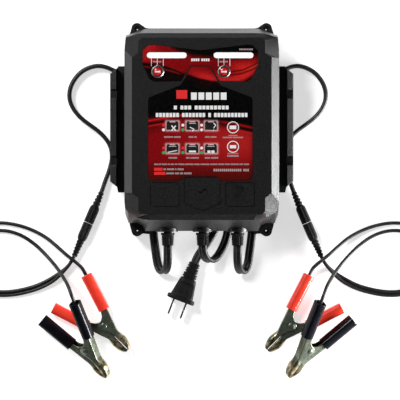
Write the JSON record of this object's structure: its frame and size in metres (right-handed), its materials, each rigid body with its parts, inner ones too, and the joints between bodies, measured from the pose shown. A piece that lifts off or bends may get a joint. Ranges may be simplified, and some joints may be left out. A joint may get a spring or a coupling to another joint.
{
  "type": "car battery charger",
  "caption": "Wall-mounting two-bank car battery charger with cord rails, a mains plug and two clip-on battery leads.",
  "frame": {"origin": "middle of the charger's footprint, without its cords, on the surface that its mounting posts rest on", "axes": "+Z out of the front face, +Y towards the top of the charger, +X to its right as it is read"},
  "size_m": [0.4648, 0.3447, 0.0553],
  "materials": {
    "case_plastic": "fine moulded texture, black",
    "label_film": "printed film, red and black",
    "led_window": "milky white diffuser",
    "button_red": "smooth red",
    "circuit_board": "solder mask",
    "core_steel": "varnished laminations",
    "winding_copper": "enamelled copper wire",
    "aluminium": "extruded",
    "capacitor_sleeve": "shrink sleeve",
    "moulded_pvc": "satin black moulding",
    "cord_pvc": "satin black jacket",
    "blade_metal": "nickel-plated brass",
    "plated_steel": "yellow zinc plate with a faint iridescence",
    "grip_red": "dipped PVC, orange red",
    "grip_black": "dipped PVC, black"
  },
  "bodies": {
    "charger": {"front_cover": "case_plastic", "rear_cover": "case_plastic", "cord_rail_right": "case_plastic", "cord_rail_left": "case_plastic", "status_label": "label_film", "instruction_label": "label_film", "led_window_left": "led_window", "led_window_right": "led_window", "circuit_board": "circuit_board", "transformer_core": "core_steel", "transformer_winding": "winding_copper", "heat_sink": "aluminium", "filter_capacitor": "capacitor_sleeve", "strain_relief_mains": "moulded_pvc", "mains_cord_gland_loop": "cord_pvc", "mains_cord_hank": "cord_pvc", "mains_cord_tail": "cord_pvc", "plug_body": "moulded_pvc", "plug_blade_left": "blade_metal", "plug_blade_right": "blade_metal", "strain_relief_left": "moulded_pvc", "lead_left_gland_loop": "cord_pvc", "lead_left_hank": "cord_pvc", "lead_left_side_loop": "cord_pvc", "connector_socket_left": "moulded_pvc", "strain_relief_right": "moulded_pvc", "lead_right_gland_loop": "cord_pvc", "lead_right_hank": "cord_pvc", "lead_right_side_loop": "cord_pvc", "connector_socket_right": "moulded_pvc"},
    "mode_button_left": {"mode_button_left": "button_red"},
    "mode_button_right": {"mode_button_right": "button_red"},
    "red_jaw_left": {"red_clamp_left_moving_jaw": "plated_steel", "red_clamp_left_moving_grip": "grip_red"},
    "black_jaw_left": {"black_clamp_left_moving_jaw": "plated_steel", "black_clamp_left_moving_grip": "grip_black"},
    "harness_left": {"connector_plug_left": "moulded_pvc", "harness_cord_left": "cord_pvc", "red_clamp_left_fixed_jaw": "plated_steel", "red_clamp_left_fixed_grip": "grip_red", "red_clamp_left_rivet": "plated_steel", "red_clamp_left_spring": "plated_steel", "black_clamp_left_fixed_jaw": "plated_steel", "black_clamp_left_fixed_grip": "grip_black", "black_clamp_left_rivet": "plated_steel", "black_clamp_left_spring": "plated_steel"},
    "red_jaw_right": {"red_clamp_right_moving_jaw": "plated_steel", "red_clamp_right_moving_grip": "grip_red"},
    "black_jaw_right": {"black_clamp_right_moving_jaw": "plated_steel", "black_clamp_right_moving_grip": "grip_black"},
    "harness_right": {"connector_plug_right": "moulded_pvc", "harness_cord_right": "cord_pvc", "red_clamp_right_fixed_jaw": "plated_steel", "red_clamp_right_fixed_grip": "grip_red", "red_clamp_right_rivet": "plated_steel", "red_clamp_right_spring": "plated_steel", "black_clamp_right_fixed_jaw": "plated_steel", "black_clamp_right_fixed_grip": "grip_black", "black_clamp_right_rivet": "plated_steel", "black_clamp_right_spring": "plated_steel"}
  },
  "joints": [
    {"name": "mode_button_left_press", "type": "slide", "parent": "charger", "child": "mode_button_left", "axis": [0, 0, -1], "range_m": [0, 0.001], "stiffness_N_per_m": 300, "springref_m": -0.0004},
    {"name": "mode_button_right_press", "type": "slide", "parent": "charger", "child": "mode_button_right", "axis": [0, 0, -1], "range_m": [0, 0.001], "stiffness_N_per_m": 300, "springref_m": -0.0004},
    {"name": "connector_left_pull", "type": "slide", "parent": "charger", "child": "harness_left", "axis": [-0.3932, -0.9195, 0], "range_m": [0, 0.025]},
    {"name": "red_clamp_left_open", "type": "hinge", "parent": "harness_left", "child": "red_jaw_left", "pos_m": [-0.0951, -0.1901, 0.0064], "axis": [0, 0, -1], "range_deg": [0, 28], "stiffness_Nm_per_rad": 0.4, "springref_deg": -5.73},
    {"name": "black_clamp_left_open", "type": "hinge", "parent": "harness_left", "child": "black_jaw_left", "pos_m": [-0.1114, -0.2127, 0.0145], "axis": [0.3723, 0.4687, -0.8011], "range_deg": [0, 28], "stiffness_Nm_per_rad": 0.4, "springref_deg": -5.73},
    {"name": "connector_right_pull", "type": "slide", "parent": "charger", "child": "harness_right", "axis": [0.3932, -0.9195, 0], "range_m": [0, 0.025]},
    {"name": "red_clamp_right_open", "type": "hinge", "parent": "harness_right", "child": "red_jaw_right", "pos_m": [0.0871, -0.1901, 0.0064], "axis": [0, 0, 1], "range_deg": [0, 28], "stiffness_Nm_per_rad": 0.4, "springref_deg": -5.73},
    {"name": "black_clamp_right_open", "type": "hinge", "parent": "harness_right", "child": "black_jaw_right", "pos_m": [0.1034, -0.2127, 0.0145], "axis": [0.3723, -0.4687, 0.8011], "range_deg": [0, 28], "stiffness_Nm_per_rad": 0.4, "springref_deg": -5.73}
  ]
}
